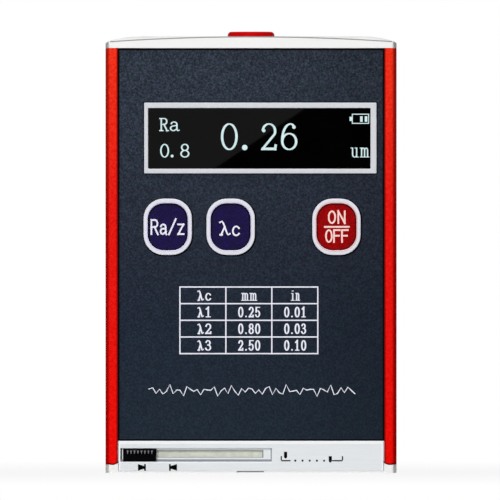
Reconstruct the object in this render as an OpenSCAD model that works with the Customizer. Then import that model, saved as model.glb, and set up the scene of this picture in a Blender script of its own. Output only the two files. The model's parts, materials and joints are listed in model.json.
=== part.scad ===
// Pocket surface roughness tester with a stylus pickup behind a sliding door.
// X runs right across the front, Y from front to back, Z up along the body.
// The origin is the middle of the measuring face. Sizes are in millimetres.

/* [Body] */
// Width across the bulged sides
body_w = 70; // [64:0.5:80]
// Depth from the rails to the back
body_d = 24; // [22:0.5:28]
// Length of the extruded housing
housing_len = 100; // [96:1:120]
// Width of each front rail
rail_w = 3; // [2.8:0.1:3.5]
// Rounding of each rail's inner edge
rail_round = 0.6; // [0.3:0.1:0.7]
// Bulge of each side
side_bulge = 0.8; // [0.6:0.1:1.6]
// Radius of the long edges
edge_r = 0.6; // [0.5:0.1:1.2]
// Thickness of the back wall
back_wall = 2; // [1.6:0.1:2.2]

/* [End caps] */
// Thickness of the top cap
top_t = 2.8; // [2.6:0.1:3.4]
// Thickness of the measuring cap
bottom_t = 2; // [2:0.1:2.6]
// Drop of the top cap's front edge towards its ends
crown_drop = 1.1; // [0.6:0.1:1.4]
// Slope of the top cap's crescents
crown_tilt = 25; // [15:1:35]
// Radius of the end cap screws
screw_r = 1; // [0.8:0.05:1.1]

/* [Front] */
// Thickness of the front panel
panel_t = 1.6; // [1.4:0.1:1.8]
// Height of the lower strip's upper edge
fascia_top = 7.7; // [7.4:0.1:8.5]
// Display frame from the body's left side
display_left = 9.33; // [7:0.1:12]
// Display frame from the body's right side
display_right = 4.87; // [4.6:0.1:9]
// Height of the display frame
display_h = 17; // [15:0.2:20]
// Display centre below the housing's top
display_drop = 21.6; // [20:0.2:24]

/* [Keys] */
// Width of a key rim
key_w = 11.6; // [10.5:0.1:12.5]
// Height of a key rim
key_h = 13.5; // [12:0.1:15]
// Width of the rim's band
key_rim = 1; // [0.8:0.05:1.3]
// Key centres below the housing's top
key_drop = 42.9; // [41:0.1:50]
// Parameter key centre from the body's left side
parameter_inset = 15; // [11:0.1:16]
// Distance between the parameter and cut-off keys
key_pitch = 15.1; // [14.5:0.1:18]
// Power key centre from the body's right side
power_inset = 14.5; // [11:0.1:18]
// Travel of a key
key_travel = 0.4; // [0.2:0.05:0.5]

/* [Start button] */
// Diameter of the start button
start_d = 11.25; // [9:0.25:12.5]
// Height of the button above the cap
start_proud = 1.2; // [1:0.1:2]
// Travel of the start button
start_travel = 0.8; // [0.4:0.1:0.9]

/* [Door] */
// Left end of the thumb slot's pocket from the body's side
pocket_inset = 3.55; // [3.4:0.05:3.8]
// Right end of the pocket from the body's right side
pocket_right = 30; // [29.6:0.1:33]
// Width of the thumb knob
knob_w = 8; // [7:0.2:9]
// Number of ribs on the knob
knob_ribs = 8; // [5:1:9]

/* [Pickup] */
// Stylus tip from the body's left side
zone_inset = 9.55; // [9.2:0.05:11]
// Length of the traced line
trace_len = 6; // [4:0.5:7]
// Pickup pivot from the body's right side
pivot_inset = 33; // [32.6:0.1:34]
// Height of the stored tip above the measuring face
tip_rest = 2.8; // [2.7:0.05:3]

/* [Hidden] */
$fn = 48;
eps = 0.01;
fit = 0.05;
seat = 0.02;

x_out = body_w / 2;
x_in = x_out - rail_w;
y_f = -body_d / 2;
y_b = body_d / 2;
y_in = y_b - back_wall;
z_lo = bottom_t;
z_hi = bottom_t + housing_len;
z_cap = z_hi + top_t;
z_all = z_cap + start_proud;

bulge_r = (y_b * y_b + side_bulge * side_bulge) / (2 * side_bulge);
bulge_x = x_out - bulge_r;
edge_y = y_b - edge_r;
edge_x = bulge_x + sqrt(pow(bulge_r - edge_r, 2) - edge_y * edge_y);
edge_a = atan2(edge_y, edge_x - bulge_x);

lip_t = 0.8;
groove = 1;
tongue_gap = 0.15;
panel_y = y_f + lip_t + fit;
panel_back = panel_y + panel_t;
panel_x = x_in + groove - tongue_gap;
panel_lo = fascia_top + 0.25;
panel_hi = z_hi - 0.35;

port_r = 2.1;
port_x = x_in - 1.8;
port_y = y_in - 3.5;
head_r = 1.8;
head_t = 0.9;
screw_l = 6;

board_t = 1.6;
board_y = panel_back + 4.85;
board_back = board_y + board_t;
board_lo = 26;
// Chip places on the board: x, z above its lower edge, width, height, thickness
chips = [[-7, 35, 10, 10, 1.4], [7, 37, 6, 6, 1.2], [-17, 12, 6, 4, 1.4],
         [10, 17, 5, 6, 1.4], [0, 4.5, 12, 4, 2.5]];
board_hi = z_hi - 3.5;

display_w = body_w - display_left - display_right;
display_x = (display_left - display_right) / 2;
display_z = z_hi - display_drop;
frame_w = [0.96, 1.46];
frame_h = [1.13, 1.3];
window_w = display_w - frame_w[0] - frame_w[1];
window_h = display_h - frame_h[0] - frame_h[1];
window_x = display_x + (frame_w[0] - frame_w[1]) / 2;
window_z = display_z + (frame_h[0] - frame_h[1]) / 2;
glass_over = 0.5;
glass_gap = 0.1;
glass_t = 1.1;
trim_t = 0.45;
lcd_t = 2;

key_z = z_hi - key_drop;
parameter_x = -x_out + parameter_inset;
cutoff_x = parameter_x + key_pitch;
power_x = x_out - power_inset;
key_xs = [parameter_x, cutoff_x, power_x];
key_gap = 0.1;
key_r = 4.8;
hole_w = key_w - 2 * key_rim;
hole_h = key_h - 2.2 * key_rim;
hole_r = key_r - key_rim;
key_face = panel_y - 0.3;
flange_y = panel_back + 0.1;
flange_t = 0.8;
plunger_r = 1.7;
plunger_gap = 0.1;
plunger_l = 1.7;
switch_w = 6;
switch_y = flange_y + flange_t + key_travel + 0.25;
switch_well = 1.05 + key_travel;

plug_t = 1.4;
plug_h = 3;
start_gap = 0.1;
start_flange = 1.1;
start_z = z_hi - 0.1;
start_foot = z_hi - 4.5;
start_switch_h = 3.5;
start_switch_z = start_foot - 1.5;

socket_w = 7.7;
socket_d = 4;
socket_x = 18;
socket_l = 9.2;
socket_hi = z_cap - 0.6;
socket_gap = 0.2;

battery_w = 34;
battery_t = 6;
battery_l = 52;
pad_t = 1;

fascia_y = y_f + 0.15;
fascia_x = x_in - 0.2;
fascia_lo = 0.5;
pocket_x = -x_out + pocket_inset;
pocket_len = body_w - pocket_inset - pocket_right;
pocket_lo = 2.7;
pocket_hi = 5.95;
pocket_y = y_f + 1.6;
knob_end = 0.725;
knob_x = pocket_x + knob_end;
knob_lo = pocket_lo + 0.1;
knob_hi = pocket_hi - 0.15;
door_travel = pocket_len - knob_w - 2 * knob_end;
stem_w = 4.4;
stem_x = knob_x + (knob_w - stem_w) / 2;
stem_lo = 4;
stem_hi = 5.2;
slot_end = 0.2;
slot_lo = stem_lo - 0.16;
slot_hi = stem_hi + 0.18;
slot_x = stem_x - slot_end;
slot_len = stem_w + door_travel + 2 * slot_end;

door_floor = 0.8;
door_z = door_floor + 0.1;
door_t = 0.4;
rail_y = panel_back + 0.35;
rail_t = 0.5;
door_x = -x_out + 3.8;
window_lo = -x_out + zone_inset - 3.05;
window_hi = window_lo + trace_len + 8.5;
window_y = 2.6;
door_hi = window_hi + 1.5;
door_back = 3.6;
rail_hi = slot_x + slot_len + 0.3;
channel_gap = 0.4;

tip_x = -x_out + zone_inset;
pivot_x = x_out - pivot_inset;
lever = pivot_x - tip_x;
pivot_z = 10;
pivot_r = 0.75;
tip_proud = 0.05;
lift = asin((tip_rest + tip_proud) / lever);
skid_x = tip_x + 3;
skid_r = 1.2;
skid_z = (pivot_x - skid_x) * sin(lift);
body_x = tip_x + 5.45;
body_end = pivot_x + 2.6;
body_lo = 6.9;
body_hi = 13.5;
body_y = 3.5;
nose_x = tip_x - 1.75;
nose_lo = 4.8;
nose_hi = 10;
nose_y = 2;
bore_y = 1.2;
bore_lo = 6;
bore_hi = 9.2;
bore_end = pivot_x - 1.5;
arm_z = 8.3;
arm_t = 1;
arm_x = pivot_x - 10.2;
piezo_l = 8;
tab_x = pivot_x - 7;
tab_w = 2;
cam_hi = body_lo - 0.3;
cam_x = tab_x - 0.2;
cam_slope = 1.04 * (pivot_x - tab_x) * sin(lift) / door_travel;

block_x = pivot_x - 4;
block_l = 10;
block_lo = 14;
block_hi = 22;
block_y = [-6.5, 7.5];
ear_in = body_y + 0.2;
ear_out = 5.4;
ear_lo = 7.5;
drive_z = 18;
guide_y = -3.5;
screw_y = 3.5;
rod_r = 1.5;
nut_r = 3;

wall_t = 1.5;
wall_gap = 3;
end_gap = 1;
left_x = block_x - wall_gap - wall_t;
right_x = block_x + block_l + trace_len + end_gap;
leg_y = 4.6;
frame_back = y_in - 0.4;
base_z = 3.5;
base_t = 1.5;
base_end = right_x + 9.5;
wall_lo = 14.5;
wall_hi = 23;
wall_y = -7;
motor_r = 5;
motor_l = 8.5;
boss_r = 2.5;
fix_y = (leg_y + frame_back) / 2;
fix_xs = [left_x + 5, base_end - 2.4];
fix_r = 0.8;
fix_lo = 1;

function arc(c, r, a, b, n) =
    [for (i = [0:n]) c + r * [cos(a + (b - a) * i / n), sin(a + (b - a) * i / n)]];

function rounded(w, h, r) = concat(
    arc([w / 2 - r, h / 2 - r], r, 0, 90, 8),
    arc([r - w / 2, h / 2 - r], r, 90, 180, 8),
    arc([r - w / 2, r - h / 2], r, 180, 270, 8),
    arc([w / 2 - r, r - h / 2], r, 270, 360, 8));

function body_outline() = concat(
    arc([bulge_x, 0], bulge_r, -edge_a, edge_a, 12),
    arc([edge_x, edge_y], edge_r, edge_a, 90, 5),
    arc([-edge_x, edge_y], edge_r, 90, 180 - edge_a, 5),
    arc([-bulge_x, 0], bulge_r, 180 - edge_a, 180 + edge_a, 12),
    arc([-edge_x, -edge_y], edge_r, 180 + edge_a, 270, 5),
    arc([edge_x, -edge_y], edge_r, 270, 360 - edge_a, 5));

// Box between two opposite corners
module block(a, b) {
    translate(a)
        cube(b - a);
}

// Plate in the XZ plane from y to y + t
module facing(x, y, z, t) {
    translate([x, y + t, z])
        rotate([90, 0, 0])
            linear_extrude(t)
                children();
}

// Rod along X
module rod_x(x, y, z, r, l) {
    translate([x, y, z])
        rotate([0, 90, 0])
            cylinder(r = r, h = l);
}

// Rod along Y
module rod_y(x, y, z, r, l) {
    translate([x, y, z])
        rotate([-90, 0, 0])
            cylinder(r = r, h = l);
}

module port_places() {
    for (side = [-1, 1])
        translate([side * port_x, port_y, 0])
            children();
}

module socket_screw(l, r, head, t) {
    difference() {
        union() {
            cylinder(r = head, h = t);
            translate([0, 0, -l])
                cylinder(r = r, h = l + eps);
        }
        translate([0, 0, t * 0.4])
            cylinder(r = r * 0.75, h = t, $fn = 6);
    }
}

// Cut that rounds the right rail's inner edge
module rail_corner() {
    difference() {
        translate([x_in - eps, y_f - eps])
            square(rail_round + eps);
        translate([x_in + rail_round, y_f + rail_round])
            circle(rail_round);
    }
}

module housing() {
    color([0.86, 0.1, 0.09])
        translate([0, 0, z_lo])
            linear_extrude(housing_len)
                difference() {
                    union() {
                        difference() {
                            polygon(body_outline());
                            translate([-x_in, y_f - 1])
                                square([2 * x_in, y_in - y_f + 1]);
                            for (side = [0, 1])
                                mirror([side, 0, 0])
                                    rail_corner();
                            translate([-x_in - groove, panel_y - fit])
                                square([2 * (x_in + groove), panel_t + 2 * fit]);
                            translate([-x_in - groove, board_y - fit])
                                square([2 * (x_in + groove), board_t + 2 * fit]);
                        }
                        port_places()
                            circle(port_r);
                    }
                    port_places()
                        circle(screw_r + fit);
                }
}

module crown_end() {
    flat = x_out - 8;
    roll = 22;
    turn = asin((x_out + 1 - flat) / roll);
    rotate([90, 0, 0])
        linear_extrude(body_d + 2, center = true)
            polygon(concat(
                [[-x_out - 1, z_hi - 1], [x_out + 1, z_hi - 1]],
                arc([flat, z_cap - roll], roll, 90 - turn, 90, 10),
                arc([-flat, z_cap - roll], roll, 90, 90 + turn, 10)));
}

module crescent() {
    dip = crown_drop * cos(crown_tilt);
    half = edge_x;
    r = (half * half + dip * dip) / (2 * dip);
    turn = asin((half + 3) / r);
    translate([0, y_f, z_cap - 0.1])
        rotate([crown_tilt + 90, 0, 0])
            linear_extrude(4 * body_d, center = true)
                polygon(concat(
                    [[-half - 3, -body_d], [half + 3, -body_d]],
                    arc([0, -r], r, 90 - turn, 90 + turn, 24)));
}

module top_cap() {
    color([0.94, 0.94, 0.95])
        difference() {
            union() {
                intersection() {
                    translate([0, 0, z_hi])
                        linear_extrude(top_t)
                            polygon(body_outline());
                    crown_end();
                    crescent();
                    mirror([0, 1, 0])
                        crescent();
                }
                difference() {
                    block([-x_in + 4.4, panel_back + 0.35, z_hi - plug_h],
                          [x_in - 4.4, y_in - 0.3, z_hi]);
                    block([-x_in + 4.4 + plug_t, panel_back + 0.35 + plug_t, z_hi - plug_h - 1],
                          [x_in - 4.4 - plug_t, y_in - 0.3 - plug_t, z_hi + 1]);
                }
            }
            translate([0, 0, z_hi - 1])
                cylinder(r = start_d / 2 + start_gap, h = top_t + 2);
            block([socket_x - socket_w / 2 - socket_gap, board_back - socket_gap, z_hi - 1],
                  [socket_x + socket_w / 2 + socket_gap, board_back + socket_d + socket_gap,
                   z_cap + 1]);
            port_places() {
                translate([0, 0, z_hi - 1])
                    cylinder(r = screw_r + fit, h = top_t);
                translate([0, 0, z_hi + 0.8])
                    cylinder(r = head_r + 0.1, h = top_t);
            }
        }
}

module top_cap_screws() {
    color([0.35, 0.36, 0.38])
        port_places()
            translate([0, 0, z_hi + 0.8])
                socket_screw(screw_l, screw_r, head_r, head_t);
}

module bottom_cap() {
    color([0.9, 0.91, 0.92])
        difference() {
            union() {
                linear_extrude(bottom_t)
                    polygon(body_outline());
                block([left_x, leg_y, bottom_t - eps],
                      [port_x - port_r - 0.6, y_in - 0.15, base_z]);
                block([port_r - port_x + 0.6, leg_y, bottom_t - eps],
                      [left_x - 3, y_in - 0.15, base_z]);
            }
            block([-x_in + 0.1, y_f - 1, fascia_lo - 0.05], [x_in - 0.1, panel_back + 0.1, base_z]);
            block([-3.4, y_f - 1, -1], [3.1, y_f + 0.9, base_z]);
            block([door_x - channel_gap, panel_back, door_floor],
                  [door_hi + door_travel + channel_gap, door_back + 0.3, base_z]);
            block([window_lo, -window_y, -1], [window_hi, window_y, base_z]);
            port_places() {
                translate([0, 0, -1])
                    cylinder(r = screw_r + fit, h = base_z + 1);
                translate([0, 0, -1])
                    cylinder(r = head_r + 0.1, h = 2.1);
            }
            for (x = fix_xs)
                translate([x, fix_y, fix_lo - 0.2])
                    cylinder(r = fix_r + fit, h = base_z);
        }
}

module bottom_cap_screws() {
    color([0.35, 0.36, 0.38])
        port_places()
            translate([0, 0, 1.1])
                mirror([0, 0, 1])
                    socket_screw(screw_l, screw_r, head_r, head_t);
}

module front_panel() {
    color([0.17, 0.2, 0.23])
        difference() {
            block([-panel_x, panel_y, panel_lo], [panel_x, panel_back, panel_hi]);
            facing(window_x, panel_y - 1, window_z, panel_t + 2)
                square([window_w + 2 * (glass_over + glass_gap),
                        window_h + 2 * (glass_over + glass_gap)], center = true);
            for (x = key_xs)
                facing(x, panel_y - 1, key_z, panel_t + 2)
                    polygon(rounded(hole_w, hole_h, hole_r));
        }
}

module display_bezel() {
    color([0.83, 0.83, 0.86])
        facing(0, panel_y - trim_t, 0, trim_t)
            difference() {
                translate([display_x, display_z])
                    square([display_w, display_h], center = true);
                translate([window_x, window_z])
                    square([window_w, window_h], center = true);
            }
}

module display_window() {
    color([0.04, 0.04, 0.05])
        facing(window_x, panel_y + fit, window_z, glass_t)
            square([window_w + 2 * glass_over, window_h + 2 * glass_over], center = true);
}

module display_panel() {
    color([0.2, 0.22, 0.22])
        facing(window_x, panel_back, window_z, lcd_t)
            square([window_w + 2.6, window_h + 2.6], center = true);
}

module display_carrier() {
    color([0.12, 0.12, 0.13])
        facing(window_x, panel_back + lcd_t, window_z, board_y - panel_back - lcd_t)
            difference() {
                square([window_w + 2.6, window_h + 2.6], center = true);
                square([window_w - 2, window_h - 2], center = true);
            }
}

module key_rim_ring(x) {
    color([0.84, 0.84, 0.88])
        facing(x, panel_y - 0.4, key_z, 0.4)
            difference() {
                polygon(rounded(key_w, key_h, key_r));
                polygon(rounded(hole_w, hole_h, hole_r));
            }
}

module key_cap(x, tone) {
    color(tone) {
        facing(x, key_face, key_z, flange_y - key_face + eps)
            polygon(rounded(hole_w - 2 * key_gap, hole_h - 2 * key_gap, hole_r - key_gap));
        facing(x, flange_y, key_z, flange_t)
            polygon(rounded(hole_w + 2.6, hole_h + 2.6, hole_r));
    }
}

module key_plunger(x) {
    color([0.1, 0.1, 0.1])
        rod_y(x, flange_y + flange_t, key_z, plunger_r, plunger_l);
}

module parameter_key_bezel() {
    key_rim_ring(parameter_x);
}

module cutoff_key_bezel() {
    key_rim_ring(cutoff_x);
}

module power_key_bezel() {
    key_rim_ring(power_x);
}

module parameter_key() {
    key_cap(parameter_x, [0.12, 0.1, 0.25]);
}

module cutoff_key() {
    key_cap(cutoff_x, [0.12, 0.1, 0.25]);
}

module power_key() {
    key_cap(power_x, [0.52, 0.05, 0.06]);
}

module parameter_plunger() {
    key_plunger(parameter_x);
}

module cutoff_plunger() {
    key_plunger(cutoff_x);
}

module power_plunger() {
    key_plunger(power_x);
}

module key_switches() {
    color([0.25, 0.25, 0.26])
        for (x = key_xs)
            difference() {
                block([x - switch_w / 2, switch_y, key_z - switch_w / 2],
                      [x + switch_w / 2, board_y, key_z + switch_w / 2]);
                rod_y(x, switch_y - 1, key_z, plunger_r + plunger_gap, switch_well + 1);
            }
}

module start_button() {
    r = start_d / 2;
    round_r = 0.9;
    color([0.78, 0, 0.02])
        rotate_extrude()
            polygon(concat(
                [[0, start_foot], [2, start_foot], [2, start_z - start_flange],
                 [r + 1.1, start_z - start_flange], [r + 1.1, start_z], [r, start_z]],
                arc([r - round_r, z_all - round_r], round_r, 0, 90, 6),
                [[0, z_all]]));
}

module start_plunger() {
    color([0.1, 0.1, 0.1])
        translate([0, 0, start_foot - 2.3])
            cylinder(r = plunger_r, h = 2.3);
}

module start_switch() {
    well = 1.1 + start_travel;
    color([0.25, 0.25, 0.26])
        difference() {
            block([-switch_w / 2, board_back, start_switch_z - start_switch_h],
                  [switch_w / 2, switch_w / 2, start_switch_z]);
            translate([0, 0, start_switch_z - well])
                cylinder(r = plunger_r + plunger_gap, h = well + 1);
        }
}

module charging_socket() {
    wall = 0.4;
    color([0.75, 0.75, 0.77]) {
        difference() {
            block([socket_x - socket_w / 2, board_back, socket_hi - socket_l],
                  [socket_x + socket_w / 2, board_back + socket_d, socket_hi]);
            block([socket_x - socket_w / 2 + wall, board_back + wall, socket_hi - socket_l + 2],
                  [socket_x + socket_w / 2 - wall, board_back + socket_d - wall, socket_hi + 1]);
        }
        block([socket_x - 2.2, board_back + 1.5, socket_hi - socket_l + 1],
              [socket_x + 2.2, board_back + 2.3, socket_hi - 1]);
    }
}

module main_board() {
    color([0.05, 0.3, 0.14])
        block([-panel_x, board_y, board_lo], [panel_x, board_back, board_hi]);
}

module board_chips() {
    color([0.08, 0.08, 0.09])
        for (c = chips)
            block([c[0] - c[2] / 2, board_back, board_lo + c[1] - c[3] / 2],
                  [c[0] + c[2] / 2, board_back + c[4], board_lo + c[1] + c[3] / 2]);
}

module battery() {
    color([0.55, 0.57, 0.6])
        block([-battery_w / 2, y_in - pad_t - battery_t, z_hi - 10 - battery_l],
              [battery_w / 2, y_in - pad_t, z_hi - 10]);
}

module battery_pad() {
    color([0.9, 0.88, 0.8])
        block([-battery_w / 2 + 2, y_in - pad_t, z_hi - 8 - battery_l],
              [battery_w / 2 - 2, y_in, z_hi - 12]);
}

module fascia() {
    color([0.87, 0.88, 0.9])
        difference() {
            union() {
                block([-panel_x, panel_y, z_lo + fit], [panel_x, panel_back, fascia_top]);
                block([-fascia_x, fascia_y, fascia_lo], [fascia_x, panel_back, fascia_top]);
            }
            block([pocket_x, fascia_y - 1, pocket_lo], [pocket_x + pocket_len, pocket_y, pocket_hi]);
            block([slot_x, fascia_y, slot_lo], [slot_x + slot_len, panel_back + 1, slot_hi]);
        }
}

module door_knob() {
    mid = (knob_lo + knob_hi) / 2;
    pitch = knob_w / (knob_ribs + 1.6);
    step = y_f + 0.5;
    color([0.03, 0.03, 0.035]) {
        block([knob_x, step, knob_lo], [knob_x + knob_w, pocket_y - fit, knob_hi]);
        block([knob_x, y_f, knob_lo], [knob_x + knob_w, step + eps, mid - 0.1]);
        for (i = [0:knob_ribs - 1])
            block([knob_x + pitch * (i + 1.05), y_f, mid - 0.2],
                  [knob_x + pitch * (i + 1.55), step + eps, knob_hi - 0.45]);
        block([stem_x, pocket_y - fit - eps, stem_lo], [stem_x + stem_w, rail_y, stem_hi]);
    }
}

module door_plate() {
    cam_end = cam_hi - cam_slope * (cam_x - door_x);
    color([0.76, 0.76, 0.7]) {
        block([door_x, rail_y, door_z], [door_hi, door_back, door_z + door_t]);
        facing(0, rail_y, 0, rail_t)
            polygon([[door_x, door_z], [door_hi, door_z], [door_hi, z_lo + 0.3],
                     [rail_hi, z_lo + 0.3], [rail_hi, cam_hi], [cam_x, cam_hi],
                     [door_x, cam_end]]);
    }
}

module drive_frame() {
    color([0.7, 0.71, 0.73])
        difference() {
            union() {
                block([left_x, leg_y, base_z], [base_end, frame_back, base_z + base_t]);
                for (x = [left_x, right_x]) {
                    block([x, leg_y, base_z], [x + wall_t, frame_back, wall_hi]);
                    block([x, wall_y, wall_lo], [x + wall_t, leg_y + eps, wall_hi]);
                }
            }
            rod_x(left_x - 1, guide_y, drive_z, rod_r + seat, right_x - left_x + wall_t + 2);
            rod_x(left_x - 1, screw_y, drive_z, boss_r + seat, right_x - left_x + wall_t + 2);
            for (x = fix_xs)
                translate([x, fix_y, base_z - 1])
                    cylinder(r = fix_r + fit, h = base_t + 2);
        }
}

module drive_screws() {
    color([0.5, 0.51, 0.53])
        for (x = fix_xs)
            translate([x, fix_y, base_z + base_t])
                socket_screw(base_z + base_t - fix_lo, fix_r, 1.5, 1.1);
}

module drive_motor() {
    color([0.62, 0.62, 0.64])
        difference() {
            union() {
                rod_x(right_x + wall_t, screw_y, drive_z, motor_r, motor_l);
                rod_x(right_x, screw_y, drive_z, boss_r, wall_t + eps);
            }
            rod_x(right_x - 1, screw_y, drive_z, rod_r + fit, wall_t + 4);
        }
}

module screw_bush() {
    color([0.72, 0.55, 0.25])
        difference() {
            rod_x(left_x, screw_y, drive_z, boss_r, wall_t);
            rod_x(left_x - 1, screw_y, drive_z, rod_r + fit, wall_t + 2);
        }
}

module guide_rod() {
    color([0.8, 0.8, 0.82])
        rod_x(left_x, guide_y, drive_z, rod_r, right_x - left_x + wall_t);
}

module lead_screw() {
    color([0.8, 0.8, 0.82])
        rod_x(left_x + 0.1, screw_y, drive_z, rod_r, right_x - left_x + wall_t + 2);
}

module carriage() {
    color([0.2, 0.2, 0.22])
        difference() {
            union() {
                block([block_x, block_y[0], block_lo], [block_x + block_l, block_y[1], block_hi]);
                for (side = [-1, 1])
                    translate([pivot_x - 3, side * (ear_in + ear_out) / 2, ear_lo])
                        translate([0, (ear_in - ear_out) / 2, 0])
                            cube([6, ear_out - ear_in, block_lo - ear_lo + eps]);
            }
            rod_x(block_x - 1, guide_y, drive_z, rod_r + fit, block_l + 2);
            rod_x(block_x - 1, screw_y, drive_z, nut_r + seat, block_l + 2);
            rod_y(pivot_x, -ear_out - 1, pivot_z, pivot_r + seat, 2 * ear_out + 2);
        }
}

module drive_nut() {
    color([0.72, 0.55, 0.25])
        difference() {
            rod_x(block_x, screw_y, drive_z, nut_r, block_l);
            rod_x(block_x - 1, screw_y, drive_z, rod_r + fit, block_l + 2);
        }
}

module pivot_pin() {
    color([0.8, 0.8, 0.82])
        rod_y(pivot_x, -ear_out, pivot_z, pivot_r, 2 * ear_out);
}

module pickup_spring() {
    t = 0.15;
    tip = block_x - 9;
    color([0.8, 0.8, 0.75])
        facing(0, -1.5, 0, 3)
            polygon([[block_x + 3, block_lo], [block_x + 3, block_lo - t], [tip + 1, block_lo - t],
                     [tip, body_hi + 0.1], [tip, body_hi + 0.1 + t], [tip + 0.95, block_lo]]);
}

module pickup_body() {
    color([0.3, 0.31, 0.33])
        difference() {
            union() {
                block([body_x, -body_y, body_lo], [body_end, body_y, body_hi]);
                block([nose_x, -nose_y, nose_lo], [body_x + eps, nose_y, nose_hi]);
                block([tab_x, rail_y + 0.1, body_lo], [tab_x + tab_w, eps - body_y, body_lo + 2]);
            }
            block([nose_x + 0.8, -bore_y, bore_lo], [body_x + 2, bore_y, bore_hi]);
            block([body_x, -bore_y, body_lo + 0.5], [bore_end, bore_y, bore_hi]);
            block([tip_x - 1, -bore_y, nose_lo - 1], [tip_x + 1, bore_y, bore_hi]);
            rod_y(pivot_x, -body_y - 1, pivot_z, pivot_r + fit, 2 * body_y + 2);
        }
}

module skid() {
    color([0.75, 0.7, 0.72])
        rotate_extrude_at(skid_x, skid_z)
            polygon(concat(
                [[0, nose_lo - skid_z], [skid_r, nose_lo - skid_z]],
                arc([0, skid_r], skid_r, 0, -90, 8)));
}

// Solid of revolution about a vertical line
module rotate_extrude_at(x, z) {
    translate([x, 0, z])
        rotate_extrude()
            children();
}

module piezo_element() {
    color([0.85, 0.8, 0.6])
        block([arm_x + 0.2, -bore_y + seat, arm_z - arm_t / 2],
              [arm_x + 0.2 + piezo_l, bore_y - seat, arm_z + arm_t / 2]);
}

module stylus_arm() {
    color([0.7, 0.71, 0.73])
        block([tip_x - 0.5, -0.5, arm_z - arm_t / 2], [arm_x, 0.5, arm_z + arm_t / 2]);
}

module stylus_tip() {
    color([0.85, 0.86, 0.9])
        translate([tip_x, 0, tip_rest]) {
            cylinder(r1 = 0.02, r2 = 0.4, h = 0.6);
            translate([0, 0, 0.6])
                cylinder(r = 0.4, h = arm_z - arm_t / 2 - tip_rest - 0.6);
        }
}

housing();
top_cap();
bottom_cap();
front_panel();
fascia();
display_bezel();
display_window();
parameter_key_bezel();
cutoff_key_bezel();
power_key_bezel();
charging_socket();
top_cap_screws();
bottom_cap_screws();
main_board();
board_chips();
display_panel();
display_carrier();
key_switches();
start_switch();
battery();
battery_pad();
drive_frame();
drive_motor();
guide_rod();
screw_bush();
drive_screws();
start_button();
start_plunger();
parameter_key();
parameter_plunger();
cutoff_key();
cutoff_plunger();
power_key();
power_plunger();
door_plate();
door_knob();
lead_screw();
carriage();
drive_nut();
pivot_pin();
pickup_spring();
pickup_body();
skid();
piezo_element();
stylus_arm();
stylus_tip();
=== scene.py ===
"""Looks of the pocket surface roughness tester: finishes, print, light and camera."""

import json
import math

import bmesh
import bpy
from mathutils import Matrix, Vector


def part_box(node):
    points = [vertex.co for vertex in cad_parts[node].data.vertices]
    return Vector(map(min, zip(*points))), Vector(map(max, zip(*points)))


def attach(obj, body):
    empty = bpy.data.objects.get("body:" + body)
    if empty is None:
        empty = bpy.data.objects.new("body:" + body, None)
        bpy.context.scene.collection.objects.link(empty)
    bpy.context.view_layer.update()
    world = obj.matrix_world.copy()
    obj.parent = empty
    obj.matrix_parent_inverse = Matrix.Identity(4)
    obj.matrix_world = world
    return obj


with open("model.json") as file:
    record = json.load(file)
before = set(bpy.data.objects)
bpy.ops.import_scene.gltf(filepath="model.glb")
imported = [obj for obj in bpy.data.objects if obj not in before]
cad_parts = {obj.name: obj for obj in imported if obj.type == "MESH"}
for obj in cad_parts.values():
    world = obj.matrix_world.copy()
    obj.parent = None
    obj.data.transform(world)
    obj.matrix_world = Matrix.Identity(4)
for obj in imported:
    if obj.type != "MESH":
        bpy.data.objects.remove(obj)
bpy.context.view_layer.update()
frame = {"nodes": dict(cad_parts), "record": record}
nodes = frame["nodes"]
scene = bpy.context.scene
MM = 0.001

# Scale of the front view: pixels on a side, millimetres a pixel, the middle column and the base's row
PICTURE = 500
PIXEL = 0.24
MIDDLE_COLUMN = 251.05
BASE_ROW = 473


def px_x(column):
    return (column - MIDDLE_COLUMN) * PIXEL * MM


def px_z(row):
    return (BASE_ROW - row) * PIXEL * MM


def mm_box(x0, x1, z0, z1):
    """A box on the front, from millimetres to metres."""
    return x0 * MM, x1 * MM, z0 * MM, z1 * MM


def rectangle(x0, x1, z0, z1):
    return [(x0, z0), (x1, z0), (x1, z1), (x0, z1)]


def front_of(node):
    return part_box(node)[0][1]


# Materials


def lin(r, g, b):
    """A colour from 0-255 sRGB to linear, with alpha."""
    def one(v):
        v /= 255
        return v / 12.92 if v <= 0.04045 else ((v + 0.055) / 1.055) ** 2.4
    return (one(r), one(g), one(b), 1.0)


def shade(colour, k):
    return tuple(min(1.0, c * k) for c in colour[:3]) + (1.0,)


def grey(k):
    return (k, k, k, 1.0)


# Grain of the finishes and reach of their painted light fades, in millimetres
BROAD_GRAIN = 16.0
PAINT_GRAIN, PAINT_TOP = 0.7, 104
FILM_SPECK, FILM_BLOTCH = 0.42, 1.6
FILM_FOOT, FILM_TOP, FILM_HALF = 8, 102, 32
KEY_SPECK, GLASS_SMEAR, SEGMENT_PATCH = 0.42, 7.0, 1.0
# Play of a plain finish's roughness, and the roughness of a clear coat
ROUGH_PLAY, COAT_ROUGH = 0.06, 0.12


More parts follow.
